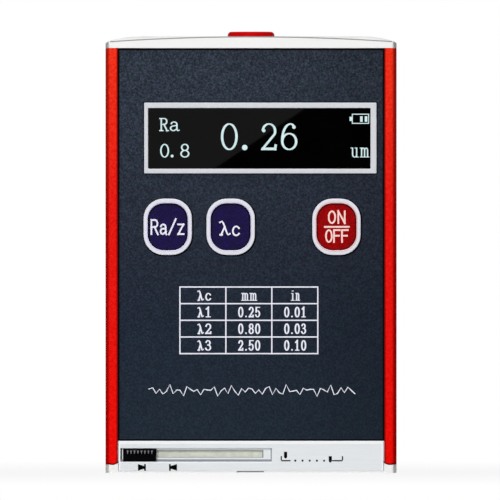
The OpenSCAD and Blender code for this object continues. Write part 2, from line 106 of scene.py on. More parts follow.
class Finish:
    """A material's node tree, with short calls."""

    def __init__(self, name):
        self.mat = bpy.data.materials.new(name)
        self.mat.use_nodes = True
        self.tree = self.mat.node_tree
        self.bsdf = self.tree.nodes["Principled BSDF"]
        self.out = self.tree.nodes["Material Output"]
        self.coord = self.add("ShaderNodeTexCoord").outputs["Object"]

    def add(self, kind, **values):
        node = self.tree.nodes.new(kind)
        for key, value in values.items():
            if key in node.inputs:
                node.inputs[key].default_value = value
            else:
                setattr(node, key, value)
        return node

    def link(self, a, b):
        self.tree.links.new(a, b)

    def put(self, name, value):
        """A value or a link into one of the shader's sockets."""
        socket = self.bsdf.inputs[name]
        if isinstance(value, (tuple, float, int)):
            socket.default_value = value
        else:
            self.link(value, socket)

    def noise(self, size, detail=2.0, rough=0.5, stretch=None):
        """Noise with features of about this many millimetres."""
        node = self.add("ShaderNodeTexNoise", Scale=1 / (size * MM), Detail=detail, Roughness=rough)
        source = self.coord
        if stretch:
            mapping = self.add("ShaderNodeMapping", Scale=stretch)
            self.link(source, mapping.inputs["Vector"])
            source = mapping.outputs["Vector"]
        self.link(source, node.inputs["Vector"])
        return node.outputs["Fac"]

    def ramp(self, fac, *stops):
        node = self.add("ShaderNodeValToRGB")
        elements = node.color_ramp.elements
        while len(elements) < len(stops):
            elements.new(0.5)
        for element, (at, colour) in zip(elements, stops):
            element.position = at
            element.color = colour
        self.link(fac, node.inputs["Fac"])
        return node.outputs["Color"]

    def spread(self, value, low, high, start=0.3, end=0.7):
        node = self.add("ShaderNodeMapRange")
        for name, number in (("From Min", start), ("From Max", end), ("To Min", low), ("To Max", high)):
            node.inputs[name].default_value = number
        self.link(value, node.inputs["Value"])
        return node.outputs["Result"]

    def mix(self, fac, a, b, blend="MIX"):
        node = self.add("ShaderNodeMix", data_type="RGBA", blend_type=blend)
        for socket, value in ((node.inputs[0], fac), (node.inputs[6], a), (node.inputs[7], b)):
            if isinstance(value, (tuple, float, int)):
                socket.default_value = value
            else:
                self.link(value, socket)
        return node.outputs[2]

    def along(self, axis):
        split = self.add("ShaderNodeSeparateXYZ")
        self.link(self.coord, split.inputs[0])
        return split.outputs[axis]

    def bump(self, height, strength, depth):
        """Relief of a depth in millimetres."""
        node = self.add("ShaderNodeBump", Strength=strength, Distance=depth * MM)
        self.link(height, node.inputs["Height"])
        self.link(node.outputs["Normal"], self.bsdf.inputs["Normal"])


def surface(name, colour, rough, metal=0.0, spec=0.5, grain=0.2, vary=0.06, coat=0.0,
            relief=0.02, stretch=None):
    """A plain finish: fine grain in colour, roughness and height over a broad unevenness."""
    m = Finish(name)
    fine = m.noise(grain, 3.0, 0.6, stretch)
    broad = m.noise(BROAD_GRAIN)
    tone = m.ramp(fine, (0.3, shade(colour, 1 - vary)), (0.7, shade(colour, 1 + vary)))
    uneven = m.ramp(broad, (0.3, grey(1 - vary / 2)), (0.7, grey(1.0)))
    m.put("Base Color", m.mix(1.0, tone, uneven, "MULTIPLY"))
    m.put("Roughness", m.spread(fine, max(0.02, rough - ROUGH_PLAY), min(1.0, rough + ROUGH_PLAY)))
    m.put("Metallic", metal)
    m.put("Specular IOR Level", spec)
    if coat:
        m.put("Coat Weight", coat)
        m.put("Coat Roughness", COAT_ROUGH)
    m.bump(fine, 0.5, relief)
    return m.mat


def housing_paint():
    """Red powder coat with painted light: a little lighter and more orange towards the top, where the
    light falls.
    """
    m = Finish("housing_paint")
    climb = m.spread(m.along("Z"), 0.0, 1.0, 0.0, PAINT_TOP * MM)
    # Painted light: the colour grows lighter and more orange up the housing, as if lit from above.
    painted_light_fade = m.ramp(climb, (0.0, lin(243, 16, 10)), (0.6, lin(235, 27, 21)), (1.0, lin(247, 53, 30)))
    grain = m.noise(PAINT_GRAIN, 3.0, 0.7)
    mottle = m.ramp(grain, (0.34, (0.79, 0.52, 0.52, 1)), (0.66, (1.05, 1.26, 1.26, 1)))
    m.put("Base Color", m.mix(1.0, painted_light_fade, mottle, "MULTIPLY"))
    m.put("Roughness", m.spread(grain, 0.4, 0.52))
    m.put("Specular IOR Level", 0.0)
    m.bump(grain, 0.4, 0.03)
    return m.mat


def panel_film():
    """Dark printed film with painted shade that darkens it down and to the right, with a speckle that is
    stronger at the top.
    """
    m = Finish("panel_film")
    climb = m.spread(m.along("Z"), 0.0, 1.0, FILM_FOOT * MM, FILM_TOP * MM)
    # Painted shade: darker towards the foot, lighter towards the top.
    painted_light_fade = m.ramp(climb, (0.0, lin(31, 41, 52)), (0.3, lin(31, 39, 51)), (0.55, lin(38, 44, 56)),
                  (1.0, lin(47, 54, 65)))
    speck = m.noise(FILM_SPECK, 4.0, 0.85)
    blotch = m.noise(FILM_BLOTCH, 2.0, 0.6)
    tint = m.ramp(blotch, (0.35, (1.06, 0.96, 1.04, 1)), (0.65, (0.92, 1.04, 0.97, 1)))
    dots = m.ramp(speck, (0.32, grey(0.1)), (0.5, grey(0.9)), (0.68, grey(2.6)))
    spotted = m.mix(m.spread(climb, 0.5, 1.0, 0.1, 0.9), grey(1.0), dots)
    # Painted shade: darker towards the right, as if lit from the left.
    across = m.spread(m.along("X"), 0.0, 1.0, -FILM_HALF * MM, FILM_HALF * MM)
    painted_side_shade = m.ramp(across, (0.35, grey(1.0)), (0.7, grey(0.9)), (0.88, grey(0.76)), (1.0, grey(0.74)))
    base = m.mix(1.0, m.mix(1.0, painted_light_fade, tint, "MULTIPLY"), painted_side_shade, "MULTIPLY")
    m.put("Base Color", m.mix(1.0, base, spotted, "MULTIPLY"))
    m.put("Roughness", m.spread(speck, 0.55, 0.72))
    m.put("Specular IOR Level", 0.08)
    m.bump(speck, 0.5, 0.03)
    return m.mat


def window_glass():
    """Polished black cover with faint smears."""
    m = Finish("window_glass")
    smear = m.noise(GLASS_SMEAR, 3.0, 0.6)
    m.put("Base Color", m.ramp(smear, (0.3, lin(1, 1, 2)), (0.7, lin(3, 3, 4))))
    m.put("Roughness", m.spread(smear, 0.005, 0.012))
    return m.mat


def key_plastic(name, dark, colour, glow):
    """Coloured keycap film with a fine speckle between three tones."""
    m = Finish(name)
    speck = m.noise(KEY_SPECK, 4.0, 0.8)
    m.put("Base Color", m.ramp(speck, (0.36, dark), (0.5, colour), (0.64, glow)))
    m.put("Roughness", m.spread(speck, 0.45, 0.6))
    m.put("Specular IOR Level", 0.1)
    m.bump(speck, 0.4, 0.02)
    return m.mat


def lit(name, colour):
    """A lit display segment with slight unevenness."""
    m = Finish(name)
    patch = m.noise(SEGMENT_PATCH)
    m.put("Base Color", m.ramp(patch, (0.3, grey(0.01)), (0.7, grey(0.02))))
    m.put("Emission Color", m.ramp(patch, (0.3, shade(colour, 0.85)), (0.7, shade(colour, 1.05))))
    m.put("Emission Strength", 1.0)
    m.put("Roughness", 0.5)
    return m.mat


BRUSHED = (0.05, 1, 1)
MATS = {
    "housing_paint": housing_paint(),
    "cap_plastic": surface("cap_plastic", lin(242, 242, 241), 0.42, spec=0.3, vary=0.015),
    "panel_film": panel_film(),
    "fascia_metal": surface("fascia_metal", lin(235, 239, 241), 0.38, metal=0.2, spec=0.3, grain=0.3,
                            vary=0.02, stretch=BRUSHED),
    "frame_plastic": surface("frame_plastic", lin(212, 214, 220), 0.4, spec=0.3, grain=0.5, vary=0.05),
    "window_glass": window_glass(),
    "rim_plastic": surface("rim_plastic", lin(226, 226, 236), 0.42, spec=0.3, grain=0.5, vary=0.05),
    "socket_metal": surface("socket_metal", lin(190, 190, 194), 0.3, metal=1.0),
    "screw_steel": surface("screw_steel", lin(120, 122, 126), 0.32, metal=1.0, vary=0.08),
    "board_laminate": surface("board_laminate", lin(18, 92, 48), 0.45, grain=1.1, vary=0.15),
    "chip_plastic": surface("chip_plastic", lin(28, 28, 30), 0.55, vary=0.1),
    "lcd_glass": surface("lcd_glass", lin(40, 44, 44), 0.15, relief=0.002),
    "switch_plastic": surface("switch_plastic", lin(60, 60, 63), 0.5, vary=0.08),
    "battery_foil": surface("battery_foil", lin(160, 164, 170), 0.35, metal=0.7, grain=1.4, vary=0.08),
    "pad_foam": surface("pad_foam", lin(225, 220, 200), 0.9, grain=0.7, vary=0.12, relief=0.1),
    "frame_metal": surface("frame_metal", lin(185, 187, 192), 0.35, metal=0.9, stretch=BRUSHED),
    "motor_metal": surface("motor_metal", lin(165, 165, 170), 0.3, metal=1.0),
    "ground_steel": surface("ground_steel", lin(205, 205, 210), 0.18, metal=1.0, vary=0.04),
    "bush_brass": surface("bush_brass", lin(196, 158, 88), 0.28, metal=1.0),
    "button_plastic": surface("button_plastic", lin(180, 3, 6), 0.4, spec=0.02, grain=0.3, vary=0.05),
    "plunger_plastic": surface("plunger_plastic", lin(30, 30, 32), 0.5, vary=0.1),
    "key_blue": key_plastic("key_blue", lin(19, 19, 40), lin(24, 18, 57), lin(38, 22, 96)),
    "key_red": key_plastic("key_red", lin(112, 2, 6), lin(142, 3, 6), lin(174, 4, 4)),
    "door_steel": surface("door_steel", lin(216, 218, 206), 0.45, metal=0.1, spec=0.3, grain=1.4,
                          vary=0.1),
    "knob_plastic": surface("knob_plastic", lin(3, 3, 5), 0.5, spec=0.04, vary=0.1),
    "carriage_plastic": surface("carriage_plastic", lin(52, 52, 56), 0.5, vary=0.08),
    "spring_steel": surface("spring_steel", lin(200, 200, 190), 0.25, metal=1.0, vary=0.05),
    "pickup_metal": surface("pickup_metal", lin(78, 80, 85), 0.35, metal=0.8),
    "skid_stone": surface("skid_stone", lin(190, 150, 160), 0.12, vary=0.05, coat=0.5),
    "piezo": surface("piezo", lin(215, 205, 160), 0.6),
    "tip_metal": surface("tip_metal", lin(215, 218, 228), 0.15, metal=1.0, vary=0.04),
}
INK_WHITE = surface("ink_white", lin(236, 236, 248), 0.6, spec=0.1, vary=0.04)
INK_TABLE = surface("ink_table", lin(233, 233, 245), 0.6, spec=0.1, vary=0.05)
INK_WARM = surface("ink_warm", lin(255, 212, 206), 0.6, spec=0.1, vary=0.04)
INK_BLACK = surface("ink_black", lin(3, 3, 4), 0.7, spec=0.02, vary=0.08)
# Painted shade: the grey line under the top cap's front edge.
CAP_EDGE_SHADE_GREY = surface("cap_edge_shade_grey", lin(150, 150, 150), 0.6, spec=0.1, vary=0.08)
# Painted shade: black for the gaps round the panel and for the shaded left end of the pocket.
GAP_SHADE = surface("gap_shade_black", lin(9, 7, 8), 0.8, spec=0.05, vary=0.1)
# Painted highlight on the edges of the lower strip.
EDGE_HIGHLIGHT = surface("edge_highlight", lin(246, 248, 251), 0.3, spec=0.3, vary=0.015, stretch=BRUSHED)
# Painted shade along the foot and right end of the thumb slot's pocket.
POCKET_SHADE_GREY = surface("pocket_shade_grey", lin(146, 150, 158), 0.6, spec=0.1, vary=0.06)
# Painted glints on the knob's ribs.
RIB_GLINT_GREY = surface("rib_glint_grey", lin(128, 128, 133), 0.5, spec=0.2, grain=0.15, vary=0.25)
# Painted shade on the wall of the notch under the lower strip.
NOTCH_SHADE_GREY = surface("notch_shade_grey", lin(146, 147, 149), 0.7, spec=0.05, vary=0.08)
# Painted shade along the edges of the slot.
SLOT_SHADE_GREY = surface("slot_shade_grey", lin(178, 180, 174), 0.6, spec=0.1, vary=0.06)
# Painted shade and reflection of each key's colour on the inner lip of its rim.
RIM_REFLECTIONS = {
    "key_blue": surface("rim_blue_reflection", lin(212, 208, 236), 0.5, spec=0.2, vary=0.05),
    "key_red": surface("rim_red_reflection", lin(236, 190, 186), 0.5, spec=0.2, vary=0.05),
}
# Painted shadow along the border of each key's field, heaviest at the top.
KEY_SHADOWS = {
    "key_blue": surface("key_blue_shadow", lin(9, 7, 27), 0.6, spec=0.1, vary=0.1),
    "key_red": surface("key_red_shadow", lin(98, 2, 6), 0.6, spec=0.1, vary=0.1),
}
# Painted shadow round the key rims and the display frame.
RIM_SHADOW_DARK = surface("rim_shadow_dark", lin(9, 10, 14), 0.7, spec=0.05, vary=0.1)
# Painted shade under the rails' ends and along their inner edges.
RAIL_SHADE = surface("rail_shade", lin(70, 3, 3), 0.7, spec=0.05, vary=0.1)
RAIL_EDGE_SHADE = surface("rail_edge_shade", lin(128, 8, 8), 0.6, spec=0.05, vary=0.08)
LIT = lit("display_lit", lin(212, 238, 240))

# Edge rounding of the solids that show, in millimetres.
EDGES = {
    "housing": 0.12, "top_cap": 0.25, "bottom_cap": 0.18, "front_panel": 0.08, "fascia": 0.08,
    "display_bezel": 0.2, "parameter_key_bezel": 0.22,
    "cutoff_key_bezel": 0.22, "power_key_bezel": 0.22, "parameter_key": 0.1, "cutoff_key": 0.1,
    "power_key": 0.1, "start_button": 0.1, "door_knob": 0.1, "door_plate": 0.05,
    "charging_socket": 0.06, "top_cap_screws": 0.08, "bottom_cap_screws": 0.08,
}
EDGE_STEPS = 3
WELD = 0.001
SHARP, FLAT = math.radians(40), math.radians(0.3)


def round_edges(obj, width):
    """Clean flats and rounded edges, as modifiers over the solid's own mesh."""
    weld = obj.modifiers.new("weld", "WELD")
    weld.merge_threshold = WELD * MM
    flat = obj.modifiers.new("flat", "DECIMATE")
    flat.decimate_type = "DISSOLVE"
    flat.angle_limit = FLAT
    edge = obj.modifiers.new("edge", "BEVEL")
    edge.width = width
    edge.segments = EDGE_STEPS
    edge.limit_method = "ANGLE"
    edge.angle_limit = SHARP
    obj.modifiers.new("normals", "WEIGHTED_NORMAL")


slot_of = {part["node"]: part["material_slot"] for part in frame["record"]["subparts"]}
for name, obj in nodes.items():
    obj.data.materials.clear()
    obj.data.materials.append(MATS[slot_of[name]])
    if name in EDGES:
        round_edges(obj, EDGES[name] * MM)

# Lettering: centre lines of each letter in a box from 0 to 1, drawn with a pen


def arc(cx, cy, rx, ry, start, end, steps=16):
    turn = math.radians(end - start) / steps
    first = math.radians(start)
    return [(cx + rx * math.cos(first + turn * i), cy + ry * math.sin(first + turn * i))
            for i in range(steps + 1)]


def ring(cx, cy, rx, ry):
    return arc(cx, cy, rx, ry, 90, 450, 32)


BOOK = {
    "0": [ring(0.5, 0.5, 0.5, 0.5)],
    "1": [[(0.5, 1), (0.5, 0)], [(0.14, 0.84), (0.5, 1)], [(0.14, 0), (0.86, 0)]],
    "2": [arc(0.5, 0.72, 0.46, 0.28, 170, -28) + [(0.03, 0.03)], [(0, 0), (0.97, 0)],
          [(0.04, 0.05), (0.94, 0.05)], [(0.95, 0), (1, 0.17)]],
    "3": [arc(0.46, 0.77, 0.4, 0.23, 160, -90), arc(0.46, 0.27, 0.5, 0.27, 90, -160)],
    "5": [[(0.14, 1), (0.94, 1)], [(0.14, 1), (0.1, 0.52)], arc(0.47, 0.32, 0.51, 0.32, 140, -155)],
    "6": [ring(0.5, 0.31, 0.5, 0.31),
          arc(0.6, 0.36, 0.6, 0.64, 180, 90) + arc(0.6, 0.84, 0.24, 0.16, 80, 10, 6)],
    "8": [ring(0.5, 0.76, 0.42, 0.24), ring(0.5, 0.26, 0.5, 0.26)],
    "R": [[(0.16, 0), (0.16, 1)], [(0.16, 1)] + arc(0.52, 0.76, 0.3, 0.24, 90, -90) + [(0.16, 0.52)],
          [(0.48, 0.52), (0.86, 0)], [(0, 1), (0.3, 1)], [(0, 0), (0.34, 0)], [(0.8, 0), (1, 0)]],
    "a": [arc(0.42, 0.72, 0.34, 0.28, 160, 0) + [(0.76, 0.1), (0.84, 0), (1, 0.04)],
          [(0.76, 0.6)] + arc(0.38, 0.27, 0.38, 0.27, 105, 275) + [(0.76, 0.2)]],
    "u": [[(0.2, 1)] + arc(0.5, 0.28, 0.3, 0.28, 180, 315), [(0.8, 1), (0.8, 0)], [(0, 1), (0.2, 1)],
          [(0.6, 1), (0.8, 1)], [(0.8, 0), (1, 0)]],
    "m": [[(0.14, 0), (0.14, 1)], [(0.5, 0)] + arc(0.33, 0.72, 0.17, 0.28, 0, 150),
          [(0.86, 0)] + arc(0.69, 0.72, 0.17, 0.28, 0, 150), [(0, 1), (0.14, 1)],
          [(0, 0), (0.28, 0)], [(0.38, 0), (0.62, 0)], [(0.74, 0), (1, 0)]],
    "n": [[(0.2, 0), (0.2, 1)], [(0.8, 0)] + arc(0.5, 0.7, 0.3, 0.3, 0, 150), [(0, 1), (0.2, 1)],
          [(0, 0), (0.4, 0)], [(0.6, 0), (1, 0)]],
    "i": [[(0.5, 0.7), (0.5, 0)], [(0.2, 0.7), (0.5, 0.7)], [(0.14, 0), (0.86, 0)],
          [(0.42, 0.96), (0.58, 0.96)]],
    "c": [arc(0.52, 0.5, 0.5, 0.5, 40, 320)],
    "λ": [[(0.04, 0.94), (0.2, 1), (0.36, 0.86), (0.76, 0.1), (0.88, 0), (1, 0.06)],
          [(0.5, 0.6), (0.12, 0)], [(0, 0), (0.26, 0)]],
}
PLAIN = {
    "R": [[(0, 0), (0, 1)], [(0, 1)] + arc(0.56, 0.75, 0.4, 0.25, 90, -90) + [(0, 0.5)],
          [(0.5, 0.5), (1, 0)]],
    "a": [arc(0.46, 0.7, 0.44, 0.3, 160, 0) + [(0.9, 0.12), (1, 0)],
          [(0.9, 0.57)] + arc(0.4, 0.28, 0.4, 0.28, 100, 275) + [(0.9, 0.24)]],
    "/": [[(0, 0), (1, 1)]],
    "z": [[(0, 1), (1, 1)], [(0.97, 1), (0.03, 0)], [(0, 0), (1, 0)]],
    "λ": [[(0, 0.94), (0.16, 1), (0.34, 0.86), (0.72, 0.12), (0.84, 0), (1, 0.06)],
          [(0.48, 0.6), (0.1, 0)], [(0, 0), (0.2, 0)]],
    "c": [arc(0.52, 0.5, 0.52, 0.5, 42, 318)],
    "O": [ring(0.5, 0.5, 0.5, 0.5)],
    "N": [[(0, 0), (0, 1)], [(0, 1), (1, 0)], [(1, 0), (1, 1)]],
    "F": [[(0, 0), (0, 1)], [(0, 1), (1, 1)], [(0, 0.53), (0.86, 0.53)]],
}
LOW_LETTERS = "acmn"
LOW_HEIGHT = 0.74
POINT_SIZE = 0.55
# Thickness of print and of the painted shade and highlight pieces, and the step between neighbours in
# one print, in millimetres
PRINT_THICK, SHADE_THICK = 0.015, 0.02
LAYERS, LAYER_STEP = 5, 0.002
SAME_PLACE = 1e-9


class Print:
    """Thin flat shapes on a front face at y."""

    def __init__(self, y, thick=PRINT_THICK):
        self.bm = bmesh.new()
        self.y = y
        self.thick = thick * MM
        self.layer = 0

    def front(self):
        """Place of the next face: neighbours differ a little, so that no two lie in one plane."""
        self.layer = (self.layer + 1) % LAYERS
        return self.y - self.thick - self.layer * LAYER_STEP * MM

    def poly(self, points):
        """A closed plate with this outline, given anticlockwise from the front."""
        face = self.front()
        front = [self.bm.verts.new((x, face, z)) for x, z in points]
        back = [self.bm.verts.new((x, self.y, z)) for x, z in points]
        self.bm.faces.new(front)
        self.bm.faces.new(back[::-1])
        for i, j in zip(range(len(points)), [*range(1, len(points)), 0]):
            self.bm.faces.new((front[i], back[i], back[j], front[j]))

    def rect(self, x0, x1, z0, z1):
        self.poly(rectangle(x0, x1, z0, z1))

    def frame(self, x0, x1, z0, z1, pen):
        self.rect(x0, x1, z1 - pen, z1)
        self.rect(x0, x1, z0, z0 + pen)
        self.rect(x0, x0 + pen, z0 + pen, z1 - pen)
        self.rect(x1 - pen, x1, z0 + pen, z1 - pen)

    def band(self, outer, inner):
        """A flat ring between two outlines with the same count of points."""
        face = self.front()
        loops = [[self.bm.verts.new((x, y, z)) for x, z in line]
                 for line, y in ((outer, face), (inner, face), (inner, self.y), (outer, self.y))]
        for a, b in zip(loops, loops[1:] + loops[:1]):
            for i, j in zip(range(len(a)), [*range(1, len(a)), 0]):
                self.bm.faces.new((a[i], a[j], b[j], b[i]))

    def disc(self, x, z, r, steps=20):
        self.poly(arc(x, z, r, r, 0, 360 - 360 / steps, steps - 1))

    def stroke(self, points, thick, thin):
        """A pen line that is thick where it runs up or down and thin where it runs across."""
        rows = []
        face = self.front()
        last = len(points) - 1
        closed = math.dist(points[0], points[last]) < SAME_PLACE
        for i, (x, z) in enumerate(points):
            ahead = points[1 if closed and i == last else min(i + 1, last)]
            behind = points[last - 1 if closed and i == 0 else max(i - 1, 0)]
            way = Vector((ahead[0] - behind[0], ahead[1] - behind[1])).normalized()
            half = (thin + (thick - thin) * abs(way.y)) / 2
            if not closed and i in (0, last):
                past = (thin * abs(way.y) + thick * abs(way.x)) / 2 * (1 if i else -1)
                x, z = x + way.x * past, z + way.y * past
            rows.append([self.bm.verts.new((x + side * half * way.y, y, z - side * half * way.x))
                         for y in (face, self.y) for side in (1, -1)])
        for a, b in zip(rows, rows[1:]):
            for i, j in ((0, 1), (1, 3), (3, 2), (2, 0)):
                self.bm.faces.new((a[i], a[j], b[j], b[i]))
        if not closed:
            self.bm.faces.new([rows[0][i] for i in (0, 2, 3, 1)])
            self.bm.faces.new([rows[last][i] for i in (0, 1, 3, 2)])

    def letter(self, lines, box, pen):
        """A letter in a box, with a pen of two widths in millimetres."""
        x0, x1, z0, z1 = box
        thick, thin = pen[0] * MM, pen[1] * MM
        x0, x1, z0, z1 = x0 + thick / 2, x1 - thick / 2, z0 + thin / 2, z1 - thin / 2
        for line in lines:
            self.stroke([(x0 + x * (x1 - x0), z0 + z * (z1 - z0)) for x, z in line], thick, thin)

    def words(self, text, box, face, pen, fill=0.84, dot=1.0):
        """Evenly spaced letters that fill a box, with a point as wide as this share of a letter."""
        x0, x1, z0, z1 = box
        point = POINT_SIZE * pen[0] * MM
        pitch = (x1 - x0) / (len(text) - 1 + fill - text.count(".") * (1 - dot))
        left = x0
        for char in text:
            if char == ".":
                self.disc(left + (0.5 * dot - 0.5 + 0.5 * fill) * pitch, z0 + point, point)
                left += dot * pitch
                continue
            high = z0 + (z1 - z0) * (LOW_HEIGHT if char in LOW_LETTERS else 1)
            self.letter(face[char], (left, left + fill * pitch, z0, high), pen)
            left += pitch

    def piece(self, name, material, body):
        mesh = bpy.data.meshes.new(name)
        bmesh.ops.recalc_face_normals(self.bm, faces=self.bm.faces)
        self.bm.to_mesh(mesh)
        self.bm.free()
        mesh.materials.append(material)
        obj = bpy.data.objects.new(name, mesh)
        scene.collection.objects.link(obj)
        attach(obj, body)


# Print on the panel, in millimetres from the middle of the base
TABLE_LEFT, TABLE_RIGHT, TABLE_LOW, TABLE_HIGH = -17.08, 16.02, 28.65, 44.64
TABLE_CELLS = (("λc", "mm", "in"), ("λ1", "0.25", "0.01"), ("λ2", "0.80", "0.03"),
               ("λ3", "2.50", "0.10"))
TABLE_MIDDLES = (-11.2, -0.44, 10.6)
TABLE_TEXT_HIGH, TABLE_TEXT_RISE = 2.54, 0.7
TABLE_LINE = 0.31
UNIT_WIDTHS = {"mm": 3.84, "in": 2.3}
NUMBER_WIDTH, SYMBOL_WIDTH = 5.34, 3.4
TABLE_PEN, UNIT_PEN = (0.39, 0.25), (0.32, 0.2)
CELL_FILL, UNIT_FILL, CELL_DOT = 0.83, 0.95, 0.62


def cutoff_table():
    """The printed table of cut-off lengths."""
    p = Print(front_of("front_panel"))
    half = TABLE_LINE / 2
    columns = len(TABLE_MIDDLES)
    pitch = (TABLE_HIGH - TABLE_LOW) / len(TABLE_CELLS)
    for row in range(len(TABLE_CELLS) + 1):
        z = TABLE_HIGH - row * pitch
        p.rect(*mm_box(TABLE_LEFT - half, TABLE_RIGHT + half, z - half, z + half))
    for column in range(columns + 1):
        x = TABLE_LEFT + (TABLE_RIGHT - TABLE_LEFT) * column / columns
        for row in range(len(TABLE_CELLS)):
            z = TABLE_HIGH - row * pitch
            p.rect(*mm_box(x - half, x + half, z - pitch + half, z - half))
    for row, cells in enumerate(TABLE_CELLS):
        foot = TABLE_HIGH - (row + 1) * pitch + TABLE_TEXT_RISE
        for middle, text in zip(TABLE_MIDDLES, cells):
            wide = UNIT_WIDTHS.get(text, NUMBER_WIDTH if "." in text else SYMBOL_WIDTH)
            pen, fill = (UNIT_PEN, UNIT_FILL) if text in UNIT_WIDTHS else (TABLE_PEN, CELL_FILL)
            box = mm_box(middle - wide / 2, middle + wide / 2, foot, foot + TABLE_TEXT_HIGH)
            p.words(text, box, BOOK, pen, fill, CELL_DOT)
    p.piece("cutoff_table", INK_TABLE, "case")


TRACE_LEFT, TRACE_RIGHT, TRACE_LOW, TRACE_HIGH = -24.44, 24.88, 18.05, 21.48
TRACE_PEN = 0.26
TRACE_COUNT, TRACE_SWING = 60, 0.9
# Share, pace and start of each wave in the trace
TRACE_WAVES = ((0.55, 2.4, 0), (0.3, 1.1, 1), (0.2, 4.3, 0))


def profile_trace():
    """A printed roughness profile: a plain zigzag trace."""
    p = Print(front_of("front_panel"))
    x0, x1, z0, z1 = mm_box(TRACE_LEFT, TRACE_RIGHT, TRACE_LOW, TRACE_HIGH)
    middle, swing = (z0 + z1) / 2, TRACE_SWING * (z1 - z0) / 2
    points = []
    for i in range(TRACE_COUNT + 1):
        wave = sum(share * math.sin(pace * i + start) for share, pace, start in TRACE_WAVES)
        points.append((x0 + (x1 - x0) * i / TRACE_COUNT, middle + swing * wave))
    p.stroke(points, TRACE_PEN * MM, TRACE_PEN * MM)
    p.piece("profile_trace", INK_TABLE, "case")


# Legends on the keys: left, right, foot and head of each letter or word
PARAMETER_LEGEND = {"R": (-24.12, -22.2, 57.14, 60.92), "a": (-21.9, -20.15, 57.14, 59.86),
                    "/": (-19.9, -17.9, 57.12, 61.08), "z": (-17.72, -15.98, 57.14, 59.86)}
CUTOFF_LEGEND = {"λ": (-7.6, -4.95, 56.98, 60.6), "c": (-4.57, -2.62, 56.83, 59.38)}
ON_BOX, OFF_BOX = (18.44, 22.68, 59.78, 63.02), (17.78, 23.42, 55.24, 58.5)
POWER_BAR = (17.5, 23.66, 58.86, 59.28)
KEY_PEN, POWER_PEN = (0.4, 0.4), (0.41, 0.41)
ON_FILL, OFF_FILL = 0.85, 0.94


def key_legends():
    y = front_of("parameter_key")
    for name, body, letters in (("parameter_legend", "parameter_key", PARAMETER_LEGEND),
                                ("cutoff_legend", "cutoff_key", CUTOFF_LEGEND)):
        p = Print(y)
        for char, box in letters.items():
            p.letter(PLAIN[char], mm_box(*box), KEY_PEN)
        p.piece(name, INK_WHITE, body)
    p = Print(y)
    p.words("ON", mm_box(*ON_BOX), PLAIN, POWER_PEN, ON_FILL)
    p.rect(*mm_box(*POWER_BAR))
    p.words("OFF", mm_box(*OFF_BOX), PLAIN, POWER_PEN, OFF_FILL)
    p.piece("power_legend", INK_WARM, "power_key")


# Signs of the display: boxes as above, and discs as middle and radius
READING = {"0": (-7.24, -3.2, 77.52, 83.93), "2": (2.4, 6.2, 77.5, 83.93),
           "6": (7.2, 11.12, 77.52, 83.93)}
READING_DOTS = ((-1.52, 78.12, 0.66), (3.05, 82.2, 0.42), (10.3, 83.02, 0.42))
READING_PEN = (0.58, 0.3)
PARAMETER_BOX = (-22.05, -17.15, 82.05, 85.2)
STEP_BOXES = {"0": (-21.82, -19.68, 75.72, 79.0), "8": (-16.98, -14.8, 75.72, 79.0)}
STEP_DOT = (-18.95, 76.08, 0.34)
SMALL_PEN, PARAMETER_FILL = (0.36, 0.24), 0.92
UNIT_BOXES = {"u": (23.9, 25.82, 75.75, 78.1), "m": (26.1, 28.4, 75.75, 78.1)}
UNIT_SIGN_PEN = (0.3, 0.19)
BATTERY = (24.2, 28.33, 83.82, 86.22)
BATTERY_PEN = 0.2
BATTERY_STUD = (23.65, 24.24, 84.5, 85.5)
BATTERY_BARS = (26.18, 27.3)
BATTERY_BAR_WIDE, BATTERY_BAR_LOW, BATTERY_BAR_HIGH = 0.6, 84.3, 85.62


def readout():
    """The lit characters of the display."""
    p = Print(front_of("display_window"))
    for pen, signs in ((READING_PEN, READING), (SMALL_PEN, STEP_BOXES), (UNIT_SIGN_PEN, UNIT_BOXES)):
        for char, box in signs.items():
            p.letter(BOOK[char], mm_box(*box), pen)
    p.words("Ra", mm_box(*PARAMETER_BOX), BOOK, SMALL_PEN, PARAMETER_FILL)
    for x, z, r in (*READING_DOTS, STEP_DOT):
        p.disc(x * MM, z * MM, r * MM)
    p.frame(*mm_box(*BATTERY), BATTERY_PEN * MM)
    p.rect(*mm_box(*BATTERY_STUD))
    for left in BATTERY_BARS:
        p.rect(*mm_box(left, left + BATTERY_BAR_WIDE, BATTERY_BAR_LOW, BATTERY_BAR_HIGH))
    p.piece("display_readout", LIT, "case")


# Arrow marks: foot, head and length, the bars with the way their arrows open, and half widths
ARROW_LOW, ARROW_HIGH, ARROW_LONG = 0.56, 2.14, 1.7
ARROW_BARS = ((-25.45, -1), (-19.48, 1))
ARROW_BAR_HALF, ARROW_TIP_HALF = 0.2, 0.26
# Path sign: two lines with a tick at the outer end, a row of dots, and the tip at its two places
PATH_Z, PATH_HALF, PATH_TICK_HIGH = 2.95, 0.15, 4.06
PATH_LINES = ((7.26, 9.47), (21.95, 19.43))
PATH_FIRST, PATH_PITCH, PATH_DOTS, PATH_DOT_R = 10.62, 1.728, 5, 0.25
TIP_PLACES = ((8.29, 3.5, 5.09), (19.02, 2.52, 4.03))
TIP_HALF, TIP_POINT_HALF, TIP_TAPER = 0.38, 0.14, 0.35


